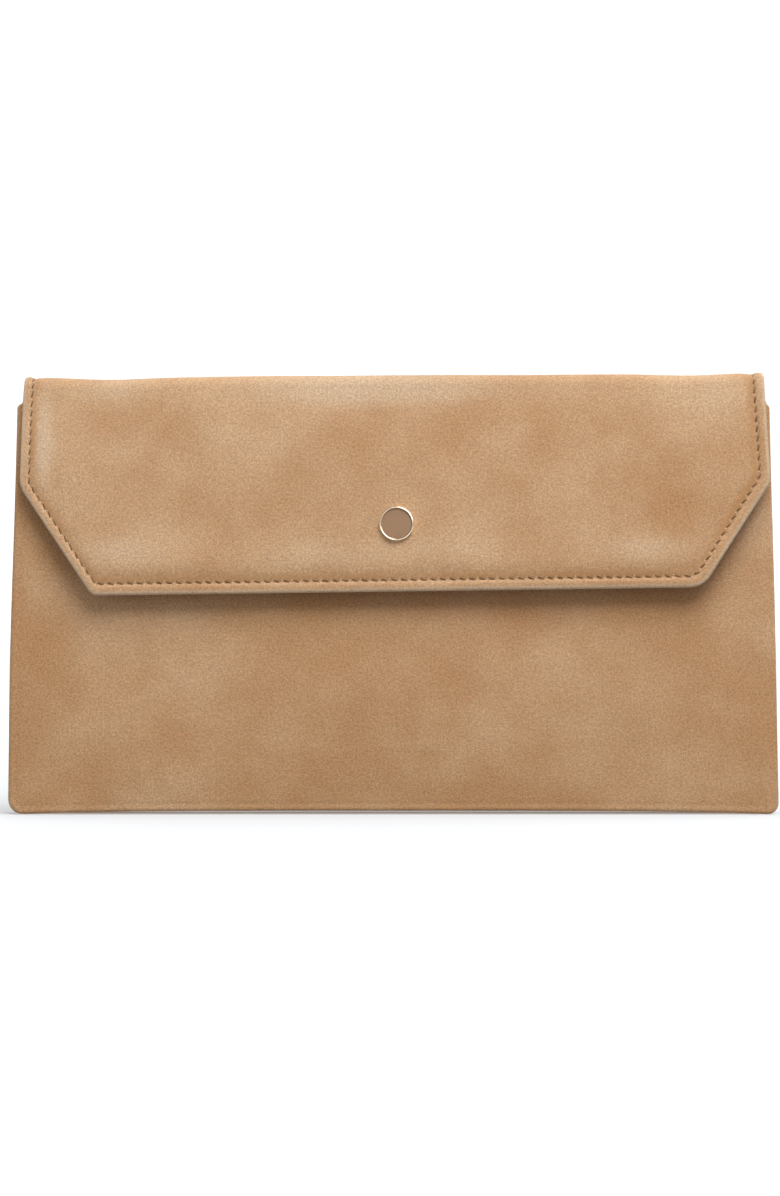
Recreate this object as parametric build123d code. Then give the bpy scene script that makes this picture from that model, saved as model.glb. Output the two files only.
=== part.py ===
from build123d import *
from math import atan2, cos, degrees, radians, sin, tan
import os

os.makedirs("parts", exist_ok=True)

# Suede envelope clutch with a fold-over flap and one magnetic snap. Millimetres. X runs across
# the width, the front faces -Y and +Z is up. The origin is the middle of the base's underside.

# Overall size
BASE_HALF_WIDTH = 145.4
MOUTH_HALF_WIDTH = 142.6
FLAP_TOP_HALF_WIDTH = 139.8
BASE_HALF_DEPTH = 10.0
MOUTH_HEIGHT = 155.5
BEND_HEIGHT = 161.0
FRONT_LEAN = 2.955
BASE_CORNER_RADIUS = 3.5
MOUTH_CORNER_RADIUS = 3.0

# Material thicknesses, and how deep under the outer face each layer lies
SUEDE = 1.2
BOARD = 0.8
LINING = 0.5
BOARD_DEPTH = SUEDE
LINING_DEPTH = SUEDE + BOARD
FLAP_THICKNESS = SUEDE + BOARD + SUEDE
PANEL_THICKNESS = SUEDE + BOARD + LINING

# The fold over the mouth: a round at the back, a flat strip and a round at the front
FOLD_RADIUS = 5.0
BACK_BEND_Y = 5.0
FRONT_BEND_Y = -1.7
FLAP_LEAN = 5.0
FRONT_BEND_END = 180.0 - FLAP_LEAN
BACK_BEND_MIDDLE = 45.0
FRONT_BEND_MIDDLE = (90.0 + FRONT_BEND_END) / 2
HALF_CREASE = 1.7

# The flap, measured down its own face from the end of the front round
FLAP_LENGTH = 77.7
FLAP_CORNER_DOWN = 37.0
FLAP_CORNER_HALF_WIDTH = 141.8
FLAP_END_HALF_WIDTH = 115.0
FLAP_CORNER_RADIUS = 6.0
FLAP_BOARD_INSET = 5.0
FLAP_EDGE_ROUND = 0.6

# Stitching
STITCH_PITCH = 3.7
STITCH_LENGTH = 2.8
STITCH_WIDTH = 0.7
STITCH_HEIGHT = 0.3
STITCH_SLANT = 12.0
FLAP_STITCH_INSET = 3.4
HEM_STITCH_DOWN = 3.0

# Facings, boards and linings inside
FACING_BOTTOM = 124.0
SIDE_INSET = 0.8
BOARD_INSET = 2.0
LAYER_GAP = 0.3
FRONT_FOOT_GAP = 0.4
POCKET_HALF_WIDTH = 75.0
POCKET_BOTTOM = 42.0
POCKET_TOP = 114.0
POCKET_CLOTH = 0.8
POCKET_SPACE = 0.5
POCKET_RIM = 4.0

# Side gussets, folded inwards in a V that deepens towards the mouth
GUSSET_SUEDE = 1.0
GUSSET_LINING = 0.4
GUSSET_TOP = 150.0
GUSSET_TOP_DEPTH = 12.0
GUSSET_FOOT_DEPTH = 1.2
GUSSET_CREASE_GAP = 0.15
GUSSET_RUN_ON = 3.0
TOUCH_GAP = 0.03
FACING_CLEARANCE = 0.6

# Magnetic snap, set a little off the middle
SNAP_ASIDE = 1.15
SNAP_DOWN = 52.1
CAP_RADIUS = 6.5
CAP_HEIGHT = 1.5
CAP_RIM = 0.7
CAP_RECESS = 0.8
DISC_THICKNESS = 0.5
POST_RADIUS = 1.25
POST_HOLE_RADIUS = 1.3
MALE_PLATE_RADIUS = 7.0
MALE_PLATE = 0.8
NUB_RADIUS = 2.6
NUB_TIP_RADIUS = 2.1
NUB_LENGTH = 1.9
SOCKET_RADIUS = 9.0
SOCKET_HEIGHT = 2.0
SOCKET_WALL = 0.4
SOCKET_BORE_RADIUS = 3.3
SOCKET_UP = 109.1
MAGNET_RADIUS = 8.2
MAGNET_BORE_RADIUS = 4.0
RIVET_RADIUS = 2.2
RIVET_BORE_RADIUS = 1.5
RIVET_HEAD = 0.3
WASHER_RADIUS = 7.0
WASHER = 0.4

# Trimming solids and sheets run past everything that they cut
REACH = 60.0
FULL_WIDTH = 2 * BASE_HALF_WIDTH + 20
BACK_INNER_Y = BASE_HALF_DEPTH - PANEL_THICKNESS


def save(name, shape):
    """Writes one sub-part."""
    export_step(shape, f"parts/{name}.step")


def slab(y_low, y_high, z_low, z_high):
    """A flat sheet that stands across the full width."""
    sheet = Box(FULL_WIDTH, y_high - y_low, z_high - z_low)
    return Pos(0, (y_low + y_high) / 2, (z_low + z_high) / 2) * sheet


def bend(centre_y, depth_out, depth_in, start, end):
    """Part of a round of the fold, in degrees from the back (0) over the top (90)."""
    outer = CenterArc((0, 0), FOLD_RADIUS - depth_out, start, end - start)
    inner = CenterArc((0, 0), FOLD_RADIUS - depth_in, start, end - start)
    sides = [Line(outer @ 1, inner @ 1), Line(inner @ 0, outer @ 0)]
    section = make_face([outer, inner] + sides)
    placed = Plane.YZ * Pos(centre_y, BEND_HEIGHT) * section
    return extrude(placed, FULL_WIDTH / 2, both=True)


def body_half_width(height):
    """Half the body's width, which narrows evenly towards the mouth."""
    return BASE_HALF_WIDTH + (MOUTH_HALF_WIDTH - BASE_HALF_WIDTH) * height / MOUTH_HEIGHT


def through_outline(points, radii):
    """A solid that keeps what lies inside a mirrored outline, seen from the front."""
    mirrored = [(-x, z) for x, z in reversed(points)]
    face = make_face(Polyline(*points, *mirrored, close=True))
    for (x, z), radius in zip(points, radii):
        if radius:
            corners = [v for v in face.vertices() if abs(abs(v.X) - x) < 0.01 and abs(v.Y - z) < 0.01]
            face = fillet(corners, radius)
    return extrude(Plane.XZ * face, REACH, both=True)


def front_outline(inset, bottom, top):
    """The front's outline between two heights, drawn in by an inset at the sides."""
    points = [(body_half_width(bottom) - inset, bottom), (body_half_width(top) - inset, top)]
    return through_outline(points, [BASE_CORNER_RADIUS, MOUTH_CORNER_RADIUS])


def side_trim(inset):
    """Everything between the body's two slanting sides."""
    foot, top = -REACH, BEND_HEIGHT + REACH
    points = [(body_half_width(foot) - inset, foot), (body_half_width(top) - inset, top)]
    return through_outline(points, [0, 0])


def back_outline(inset, bottom):
    """The back's outline, with a shoulder where it narrows to the width of the flap."""
    shoulder = MOUTH_HEIGHT
    points = [
        (body_half_width(bottom) - inset, bottom),
        (body_half_width(shoulder) - inset, shoulder),
        (FLAP_TOP_HALF_WIDTH - inset, shoulder + 1.5),
        (FLAP_TOP_HALF_WIDTH - inset, BEND_HEIGHT + 10),
    ]
    return through_outline(points, [BASE_CORNER_RADIUS, 1.0, 0.5, 0])


def fold_trim():
    """Everything as wide as the top of the flap."""
    return Pos(0, 0, BEND_HEIGHT) * Box(2 * FLAP_TOP_HALF_WIDTH, REACH, REACH)


def lean(shape):
    """Tilts a front layer back about the bottom edge of the front."""
    return shape.rotate(Axis((0, -BASE_HALF_DEPTH, 0), (1, 0, 0)), -FRONT_LEAN)


def back_layer(depth_out, depth_in, bottom, inset, bottom_of_outline):
    """A layer of the back, up to the crease in the middle of the back round."""
    y_high = BASE_HALF_DEPTH - depth_out
    y_low = BASE_HALF_DEPTH - depth_in
    upright = slab(y_low, y_high, bottom, BEND_HEIGHT)
    round_part = bend(BACK_BEND_Y, depth_out, depth_in, 0, BACK_BEND_MIDDLE - HALF_CREASE)
    return (upright + round_part) & back_outline(inset, bottom_of_outline)


def fold_layer(depth_out, depth_in):
    """A layer of the strip over the mouth, from crease to crease."""
    back_round = bend(BACK_BEND_Y, depth_out, depth_in, BACK_BEND_MIDDLE + HALF_CREASE, 90)
    front_round = bend(FRONT_BEND_Y, depth_out, depth_in, 90, FRONT_BEND_MIDDLE - HALF_CREASE)
    top = BEND_HEIGHT + FOLD_RADIUS
    strip = slab(FRONT_BEND_Y, BACK_BEND_Y, top - depth_in, top - depth_out)
    return (back_round + strip + front_round) & fold_trim()


def flap_plane(depth):
    """The flap's outer face, or a plane under it, with its origin at the end of the round."""
    turn = radians(FRONT_BEND_END)
    radius = FOLD_RADIUS - depth
    origin = (0, FRONT_BEND_Y + radius * cos(turn), BEND_HEIGHT + radius * sin(turn))
    outward = (0, -cos(radians(FLAP_LEAN)), sin(radians(FLAP_LEAN)))
    return Plane(origin=origin, x_dir=(1, 0, 0), z_dir=outward)


def flap_outline():
    """The flap's face below the round: straight sides, two cut corners and a straight end."""
    side = (FLAP_CORNER_HALF_WIDTH, -FLAP_CORNER_DOWN)
    end = (FLAP_END_HALF_WIDTH, -FLAP_LENGTH)
    right = [(FLAP_TOP_HALF_WIDTH, 0), side, end]
    left = [(-x, y) for x, y in reversed(right)]
    face = make_face(Polyline(*right, *left, close=True))
    corners = [v for v in face.vertices() if v.Y < -1]
    return fillet(corners, FLAP_CORNER_RADIUS)


def flap_layer(depth_out, depth_in):
    """A layer of the flap, from the crease in the front round down to its end."""
    flat = extrude(flap_plane(depth_in) * flap_outline(), depth_in - depth_out)
    start = FRONT_BEND_MIDDLE + HALF_CREASE
    round_part = bend(FRONT_BEND_Y, depth_out, depth_in, start, FRONT_BEND_END)
    return flat + (round_part & fold_trim())


def flap_disc(radius, depth_out, depth_in):
    """A round solid on the snap's axis between two depths under the flap's outer face."""
    centre = Pos(SNAP_ASIDE, -SNAP_DOWN, 0)
    return flap_plane(0).offset(-depth_in) * centre * extrude(Circle(radius), depth_in - depth_out)


def front_disc(radius, depth_out, depth_in):
    """A round solid on the socket's axis between two depths under the front's outer face."""
    origin = (SNAP_ASIDE, depth_in - BASE_HALF_DEPTH, SOCKET_UP)
    face = Plane(origin=origin, x_dir=(1, 0, 0), z_dir=(0, -1, 0))
    return lean(face * extrude(Circle(radius), depth_in - depth_out))


def stitch():
    """One thread of a row, lying on a face and a little aslant to the row."""
    thread = extrude(SlotOverall(STITCH_LENGTH, STITCH_WIDTH), STITCH_HEIGHT)
    return Rot(0, 0, STITCH_SLANT) * thread


def stitch_row(plane, path):
    """Threads at an even pitch along a path on a plane."""
    count = round(path.length / STITCH_PITCH)
    threads = []
    for number in range(count):
        share = (number + 0.5) / count
        along = path % share
        turn = degrees(atan2(along.Y, along.X))
        threads.append(plane * Pos(path @ share) * Rot(0, 0, turn) * stitch())
    return Compound(children=threads)


def back_panel():
    """Suede back, which runs on over the top into the fold."""
    return back_layer(0, SUEDE, 0, 0, 0)


def back_stiffener():
    """Board inside the back."""
    board = slab(BASE_HALF_DEPTH - LINING_DEPTH, BASE_HALF_DEPTH - BOARD_DEPTH, LINING_DEPTH, BEND_HEIGHT)
    return board & back_outline(BOARD_INSET, LINING_DEPTH)


def back_facing():
    """Suede band inside the back, from below the mouth up into the fold."""
    return back_layer(LINING_DEPTH, FLAP_THICKNESS, FACING_BOTTOM, SIDE_INSET, 0)


def back_lining():
    """Lining cloth inside the back, up to the facing."""
    cloth = slab(BACK_INNER_Y, BACK_INNER_Y + LINING, PANEL_THICKNESS, FACING_BOTTOM)
    return cloth & back_outline(SIDE_INSET, 0)


def slip_pocket():
    """Patch pocket on the back lining, open at its top."""
    width = 2 * POCKET_HALF_WIDTH
    height = POCKET_TOP - POCKET_BOTTOM
    middle = (POCKET_TOP + POCKET_BOTTOM) / 2
    depth = POCKET_CLOTH + POCKET_SPACE
    patch = Pos(0, BACK_INNER_Y - depth / 2, middle) * Box(width, depth, height)
    space_width = width - 2 * POCKET_RIM
    space = Box(space_width, POCKET_SPACE, height)
    return patch - Pos(0, BACK_INNER_Y - POCKET_SPACE / 2, middle + POCKET_RIM) * space


def base_panel():
    """Suede base that the clutch stands on."""
    sheet = slab(FRONT_FOOT_GAP - BASE_HALF_DEPTH + SUEDE, BASE_HALF_DEPTH - SUEDE, 0, SUEDE)
    return sheet & side_trim(SIDE_INSET + BASE_CORNER_RADIUS / 2)


def base_stiffener():
    """Board on top of the base's suede."""
    front = FRONT_FOOT_GAP - BASE_HALF_DEPTH + BOARD_DEPTH
    sheet = slab(front, BASE_HALF_DEPTH - BOARD_DEPTH, BOARD_DEPTH, LINING_DEPTH)
    return sheet & side_trim(SIDE_INSET + BASE_CORNER_RADIUS)


def base_lining():
    """Lining cloth over the base's board."""
    front = FRONT_FOOT_GAP - BASE_HALF_DEPTH + BOARD_DEPTH
    sheet = slab(front, BASE_HALF_DEPTH - LINING_DEPTH, LINING_DEPTH, PANEL_THICKNESS)
    return sheet & side_trim(SIDE_INSET)


def gusset_section(height, fold_depth, depth_out, depth_in):
    """A level slice through the right-hand gusset's rear leaf, which runs from seam to crease."""
    seam_x = body_half_width(height) - SIDE_INSET
    seam_y = BACK_INNER_Y - GUSSET_SUEDE - GUSSET_LINING
    crease_x = seam_x - fold_depth
    crease_y = height * tan(radians(FRONT_LEAN / 2)) + GUSSET_CREASE_GAP
    run = Vector(crease_x - seam_x, crease_y - seam_y).normalized()
    inward = Vector(run.Y, -run.X)
    seam = Vector(seam_x, seam_y) - run * GUSSET_RUN_ON
    crease = Vector(crease_x, crease_y)
    corners = [
        seam + inward * depth_out,
        crease + inward * depth_out,
        crease + inward * depth_in,
        seam + inward * depth_in,
    ]
    return Pos(0, 0, height) * make_face(Polyline(*corners, close=True))


def back_gusset(depth_out, depth_in):
    """The right-hand gusset's rear leaf, one layer of it."""
    foot_height = PANEL_THICKNESS + TOUCH_GAP
    foot = gusset_section(foot_height, GUSSET_FOOT_DEPTH, depth_out, depth_in)
    top = gusset_section(GUSSET_TOP, GUSSET_TOP_DEPTH, depth_out, depth_in)
    leaf = loft([foot, top], ruled=True)
    step = FACING_BOTTOM - FACING_CLEARANCE
    below_facing = slab(-REACH, BACK_INNER_Y - TOUCH_GAP, 0, step)
    facing_y = BASE_HALF_DEPTH - FLAP_THICKNESS
    beside_facing = slab(-REACH, facing_y - TOUCH_GAP, step, GUSSET_TOP)
    return leaf & (below_facing + beside_facing) & side_trim(SIDE_INSET)


def front_gusset(depth_out, depth_in):
    """The right-hand gusset's front leaf, a mirror image of its rear leaf."""
    half_lean = radians(FRONT_LEAN / 2)
    middle = Plane(origin=(0, 0, 0), z_dir=(0, cos(half_lean), -sin(half_lean)))
    return mirror(back_gusset(depth_out, depth_in), about=middle)


def left_of(shape):
    """The same leaf on the left-hand side."""
    return mirror(shape, about=Plane.YZ)


def front_panel():
    """Suede front, from the floor to the mouth."""
    sheet = slab(-BASE_HALF_DEPTH, SUEDE - BASE_HALF_DEPTH, 0, MOUTH_HEIGHT + 1)
    outer = lean(sheet & front_outline(0, 0, MOUTH_HEIGHT + 0.2))
    above_floor = slab(-REACH, REACH, 0, BEND_HEIGHT + REACH)
    return (outer & above_floor) - front_disc(RIVET_RADIUS, -1, SUEDE + 1)


def front_stiffener():
    """Board inside the front, with a seat for the snap's washer."""
    y_low = BOARD_DEPTH - BASE_HALF_DEPTH
    board = slab(y_low, y_low + BOARD, PANEL_THICKNESS + LAYER_GAP, MOUTH_HEIGHT - BOARD_INSET)
    shape = lean(board & side_trim(BOARD_INSET))
    seat = front_disc(WASHER_RADIUS, LINING_DEPTH - WASHER, LINING_DEPTH + 1)
    return shape - front_disc(RIVET_RADIUS, 0, FLAP_THICKNESS) - seat


def front_facing():
    """Suede band inside the front, along the mouth."""
    y_low = LINING_DEPTH - BASE_HALF_DEPTH
    band = slab(y_low, y_low + SUEDE, FACING_BOTTOM, MOUTH_HEIGHT)
    return lean(band & front_outline(SIDE_INSET, 0, MOUTH_HEIGHT))


def front_lining():
    """Lining cloth inside the front, up to the facing."""
    y_low = LINING_DEPTH - BASE_HALF_DEPTH
    cloth = slab(y_low, y_low + LINING, PANEL_THICKNESS + LAYER_GAP, FACING_BOTTOM)
    return lean(cloth & side_trim(SIDE_INSET))


def front_hem_stitching():
    """Row of threads under the front's top edge."""
    height = MOUTH_HEIGHT - HEM_STITCH_DOWN
    half = body_half_width(height) - FLAP_STITCH_INSET
    face = Plane(origin=(0, -BASE_HALF_DEPTH, 0), x_dir=(1, 0, 0), z_dir=(0, -1, 0))
    return lean(stitch_row(face, Line((-half, height), (half, height))))


def fold_stitching():
    """Threads at both ends of the strip over the mouth."""
    side = FLAP_TOP_HALF_WIDTH - FLAP_STITCH_INSET
    face = Plane.XY.offset(BEND_HEIGHT + FOLD_RADIUS)
    right = stitch_row(face, Line((side, FRONT_BEND_Y), (side, BACK_BEND_Y)))
    left = stitch_row(face, Line((-side, BACK_BEND_Y), (-side, FRONT_BEND_Y)))
    return Compound(children=[*right.children, *left.children])


def flap_stitching():
    """Row of threads down the sides, along the cut corners and across the end of the flap."""
    inner = offset(flap_outline(), -FLAP_STITCH_INSET, kind=Kind.INTERSECTION)
    edges = [e for e in inner.edges() if (e @ 0.5).Y < -FLAP_STITCH_INSET - 0.01]
    path = Wire(edges)
    return stitch_row(flap_plane(0), path)


def flap_panel():
    """Outer suede of the flap, rounded along its free edge, with the snap's hole."""
    flat = extrude(flap_plane(SUEDE) * flap_outline(), SUEDE)
    outer_face = flat.faces().sort_by(SortBy.AREA)[-2:].sort_by(Axis.Y)[0]
    free_edges = [e for e in outer_face.edges() if (e @ 0.5).Z < BEND_HEIGHT]
    flat = fillet(free_edges, FLAP_EDGE_ROUND)
    start = FRONT_BEND_MIDDLE + HALF_CREASE
    round_part = bend(FRONT_BEND_Y, 0, SUEDE, start, FRONT_BEND_END) & fold_trim()
    return flat + round_part - flap_disc(POST_HOLE_RADIUS, -1, SUEDE + 1)


def flap_stiffener():
    """Board inside the flap, short of its edges."""
    inner = offset(flap_outline(), -FLAP_BOARD_INSET)
    board = extrude(flap_plane(LINING_DEPTH) * inner, BOARD)
    return board - flap_disc(POST_HOLE_RADIUS, 0, FLAP_THICKNESS)


def flap_facing():
    """Inner suede of the flap."""
    layer = flap_layer(LINING_DEPTH, FLAP_THICKNESS)
    return layer - flap_disc(POST_HOLE_RADIUS, SUEDE, FLAP_THICKNESS + 1)


def snap_cap():
    """Round metal cap on the outside of the flap, with a raised rim."""
    dish = flap_disc(CAP_RADIUS, -CAP_HEIGHT, 0)
    top_edge = dish.edges().sort_by(Axis.Y)[0]
    dish = fillet(top_edge, CAP_RIM / 2)
    recess = flap_disc(CAP_RADIUS - CAP_RIM, -CAP_HEIGHT - 1, CAP_RECESS - CAP_HEIGHT)
    return dish - recess


def snap_cap_disc():
    """Flat coloured disc set in the cap."""
    top = CAP_RECESS - CAP_HEIGHT
    return flap_disc(CAP_RADIUS - CAP_RIM, top - DISC_THICKNESS, top)


def snap_post():
    """Rivet post that joins the cap and the male half through the flap."""
    return flap_disc(POST_RADIUS, 0, FLAP_THICKNESS)


def snap_male():
    """Male half of the snap on the inside of the flap: a plate with a tapering nub."""
    plate = flap_disc(MALE_PLATE_RADIUS, FLAP_THICKNESS, FLAP_THICKNESS + MALE_PLATE)
    middle = FLAP_THICKNESS + MALE_PLATE + NUB_LENGTH / 2
    cone = Cone(NUB_TIP_RADIUS, NUB_RADIUS, NUB_LENGTH)
    nub = flap_plane(0).offset(-middle) * Pos(SNAP_ASIDE, -SNAP_DOWN, 0) * cone
    return plate + nub


def snap_socket_case():
    """Open-centred metal case of the female half, with a hollow for its magnet."""
    case = front_disc(SOCKET_RADIUS, -SOCKET_HEIGHT, -RIVET_HEAD)
    bore = front_disc(SOCKET_BORE_RADIUS, -SOCKET_HEIGHT - 1, 1)
    hollow = front_disc(MAGNET_RADIUS, SOCKET_WALL - SOCKET_HEIGHT, 1)
    core = front_disc(MAGNET_BORE_RADIUS, -SOCKET_HEIGHT, 1)
    return case - bore - (hollow - core)


def snap_magnet():
    """Ring magnet inside the female half."""
    ring = front_disc(MAGNET_RADIUS, SOCKET_WALL - SOCKET_HEIGHT, -RIVET_HEAD)
    return ring - front_disc(MAGNET_BORE_RADIUS, -SOCKET_HEIGHT, 1)


def snap_socket_rivet():
    """Hollow rivet that holds the female half to the front through suede and board."""
    foot = LINING_DEPTH - WASHER
    tube = front_disc(RIVET_RADIUS, -RIVET_HEAD, foot)
    head = front_disc(SOCKET_RADIUS, -RIVET_HEAD, 0)
    return tube + head - front_disc(RIVET_BORE_RADIUS, -SOCKET_HEIGHT, foot + 1)


def snap_socket_washer():
    """Washer let into the back of the board, under the lining."""
    disc = front_disc(WASHER_RADIUS, LINING_DEPTH - WASHER, LINING_DEPTH)
    return disc - front_disc(RIVET_BORE_RADIUS, 0, LINING_DEPTH + 1)


save("back_panel", back_panel())
save("back_stiffener", back_stiffener())
save("back_facing", back_facing())
save("back_lining", back_lining())
save("slip_pocket", slip_pocket())
save("base_panel", base_panel())
save("base_stiffener", base_stiffener())
save("base_lining", base_lining())

OUTER_LEAF = (0, GUSSET_SUEDE)
INNER_LEAF = (GUSSET_SUEDE, GUSSET_SUEDE + GUSSET_LINING)
save("gusset_right_back", back_gusset(*OUTER_LEAF))
save("gusset_left_back", left_of(back_gusset(*OUTER_LEAF)))
save("gusset_lining_right_back", back_gusset(*INNER_LEAF))
save("gusset_lining_left_back", left_of(back_gusset(*INNER_LEAF)))
save("gusset_right_front", front_gusset(*OUTER_LEAF))
save("gusset_left_front", left_of(front_gusset(*OUTER_LEAF)))
save("gusset_lining_right_front", front_gusset(*INNER_LEAF))
save("gusset_lining_left_front", left_of(front_gusset(*INNER_LEAF)))

save("front_panel", front_panel())
save("front_stiffener", front_stiffener())
save("front_facing", front_facing())
save("front_lining", front_lining())
save("front_hem_stitching", front_hem_stitching())

save("fold_outer", fold_layer(0, SUEDE))
save("fold_interlining", fold_layer(BOARD_DEPTH, LINING_DEPTH))
save("fold_facing", fold_layer(LINING_DEPTH, FLAP_THICKNESS))
save("fold_stitching", fold_stitching())

save("flap_panel", flap_panel())
save("flap_stiffener", flap_stiffener())
save("flap_facing", flap_facing())
save("flap_stitching", flap_stitching())

save("snap_cap", snap_cap())
save("snap_cap_disc", snap_cap_disc())
save("snap_post", snap_post())
save("snap_male", snap_male())
save("snap_socket_case", snap_socket_case())
save("snap_magnet", snap_magnet())
save("snap_socket_rivet", snap_socket_rivet())
save("snap_socket_washer", snap_socket_washer())
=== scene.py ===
import math

import bpy
import numpy as np
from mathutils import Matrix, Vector


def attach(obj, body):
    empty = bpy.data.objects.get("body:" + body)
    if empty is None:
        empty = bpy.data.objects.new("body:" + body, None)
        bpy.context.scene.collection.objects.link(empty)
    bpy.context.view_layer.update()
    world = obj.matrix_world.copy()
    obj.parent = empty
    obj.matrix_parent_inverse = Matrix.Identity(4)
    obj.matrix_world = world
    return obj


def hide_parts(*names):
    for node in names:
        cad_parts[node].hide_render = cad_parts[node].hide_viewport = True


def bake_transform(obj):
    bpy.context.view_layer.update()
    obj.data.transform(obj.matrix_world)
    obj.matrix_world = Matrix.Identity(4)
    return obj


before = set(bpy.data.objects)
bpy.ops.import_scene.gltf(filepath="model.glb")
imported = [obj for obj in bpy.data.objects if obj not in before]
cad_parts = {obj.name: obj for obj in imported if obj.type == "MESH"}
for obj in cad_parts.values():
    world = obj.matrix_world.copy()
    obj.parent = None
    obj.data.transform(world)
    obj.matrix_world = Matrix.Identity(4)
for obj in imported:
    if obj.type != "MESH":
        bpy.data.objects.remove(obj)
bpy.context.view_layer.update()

# Sizes in millimetres, in the CAD frame. X runs across the width, the front faces -Y and +Z is up.
MM = 0.001
FOLD_RADIUS = 5.0
BEND_HEIGHT = 161.0
BACK_BEND_Y = 5.0
FRONT_BEND_Y = -1.7
HALF_STRIP = (BACK_BEND_Y - FRONT_BEND_Y) / 2
STRIP_MIDDLE_Y = (BACK_BEND_Y + FRONT_BEND_Y) / 2
FLAP_LEAN = math.radians(5.0)
FRONT_ARC = math.radians(85.0)
BACK_ARC = math.radians(90.0)
FLAP_START = HALF_STRIP + FOLD_RADIUS * FRONT_ARC
BACK_START = HALF_STRIP + FOLD_RADIUS * BACK_ARC
BACK_END = BACK_START + BEND_HEIGHT
FLAP_LENGTH = 77.7
FLAP_CORNER_DOWN = 37.0
FLAP_SKEW = 1.74e-4
FRONT_LEAN = math.radians(2.955)
HALF_DEPTH = 10.0
BASE_HALF_WIDTH = 145.4
MOUTH_HALF_WIDTH = 142.6
FOLD_HALF_WIDTH = 139.8
MOUTH_HEIGHT = 155.5
FACING_BOTTOM = 124.0
GUSSET_TOP = 150.0
CAP_ASIDE = 1.15
CAP_DOWN = 52.1
SKIN = 2.1
FACING_DEPTH = 3.2
LINING_DEPTH = 2.6
EDGE_RADIUS = SKIN / 2
FACING_INSET = 1.0
STITCH_PITCH = 3.7
STITCH_INSET = 3.4
# How far the middle of the foot stands off the ground, and how far out the foot's corners are
ARCH = 1.3
FOOT_HALF_LENGTH = 142.0
FOOT_RADIUS = 4.2
# How much rounder the left bottom corner is worn
LEFT_FOOT = 1.35
# How much the sides stand out, as a share of the width
LEFT_BULGE = 0.0045
RIGHT_BULGE = 0.0020
# How much the fold's ends are drawn in, as a share of the width; the right end stands out instead
LEFT_PINCH = 0.002
RIGHT_PINCH = -0.001
# How far the top of the flap is drawn back towards the mouth
FOLD_TUCK = 1.5
FOLD_CROWN = 0.30
HEM_PADDING = 0.45
CAP_DIMPLE = 0.30
FRONT_BELLY = 1.3
# The way over a gusset from its crease to a seam, and how deep the crease lies: at the foot, and how
# much deeper at the top
GUSSET_HALF_RUN = 14.0
GUSSET_DEPTH_LOW = 1.6
GUSSET_DEPTH_GAIN = 11.4
GUSSET_SLACK = 0.5
# How many points a sheet has across, up, round a corner and round a turned part
ACROSS = 96
UPWARD = 48
ARC_STEPS = 6
TURN_STEPS = 96
FAR_FROM_EDGE = 20.0

# ---------------- helpers for shapes


def ripple(x, y, size, seed):
    """A smooth uneven surface, with waves about one size long, from about -1 to 1."""
    rng = np.random.default_rng(seed)
    total = np.zeros(np.broadcast(x, y).shape)
    for _ in range(7):
        turn = rng.uniform(0, 2 * math.pi)
        wave = 2 * math.pi / (size * rng.uniform(0.7, 1.6))
        shift = rng.uniform(0, 2 * math.pi)
        total = total + np.sin(wave * (x * math.cos(turn) + y * math.sin(turn)) + shift)
    return total / 5.0


def hill(value, centre, width):
    """A soft hill over a value: 1 at its centre."""
    return np.exp(-(((value - centre) / width) ** 2))


def ease(value, low, high):
    """Rises smoothly from 0 at low to 1 at high."""
    share = np.clip((value - low) / (high - low), 0, 1)
    return share * share * (3 - 2 * share)


def steps(count):
    """Even fractions strictly between 0 and 1."""
    return np.arange(1, count) / count


def side_half_width(up):
    """Half the body's width at a height."""
    return BASE_HALF_WIDTH + (MOUTH_HALF_WIDTH - BASE_HALF_WIDTH) * up / MOUTH_HEIGHT


def spread(x, z):
    """The sides stand out a little further half way up."""
    return x * (1 + np.where(x < 0, LEFT_BULGE * hill(z, 62, 45), RIGHT_BULGE * hill(z, 75, 50)))


def arch(x):
    """How far the middle of the foot stands off the ground between its corners."""
    return ARCH * np.clip(1 - (x / FOOT_HALF_LENGTH) ** 4, 0, 1)


# ---------------- where each surface lies

# How far the top of the fold lies above its plan, at places across it
FOLD_SAG_X = (-140, -125, -109, -90, -52, -24, 14, 51, 88, 108, 118, 128, 140)
FOLD_SAG_Z = (-0.9, -1.3, -2.3, -1.2, -0.5, -0.3, 0.0, 0.0, 0.1, -0.5, -0.4, 0.6, 0.8)


def settle(points):
    """Lets the fold sag unevenly and shifts its ends a little."""
    x, y, z = points[..., 0], points[..., 1], points[..., 2]
    sag = np.zeros_like(x)
    for shift in (-9.0, -4.5, 0.0, 4.5, 9.0):
        sag = sag + np.interp(x + shift, FOLD_SAG_X, FOLD_SAG_Z) / 5
    high = ease(z, 132, 166)
    pinch = 1 - np.where(x < 0, LEFT_PINCH, RIGHT_PINCH) * ease(z, 152, 166) ** 2
    return np.stack([spread(x, np.where(y > 0, z, 400)) * pinch, y, z + sag * high], -1)


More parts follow.
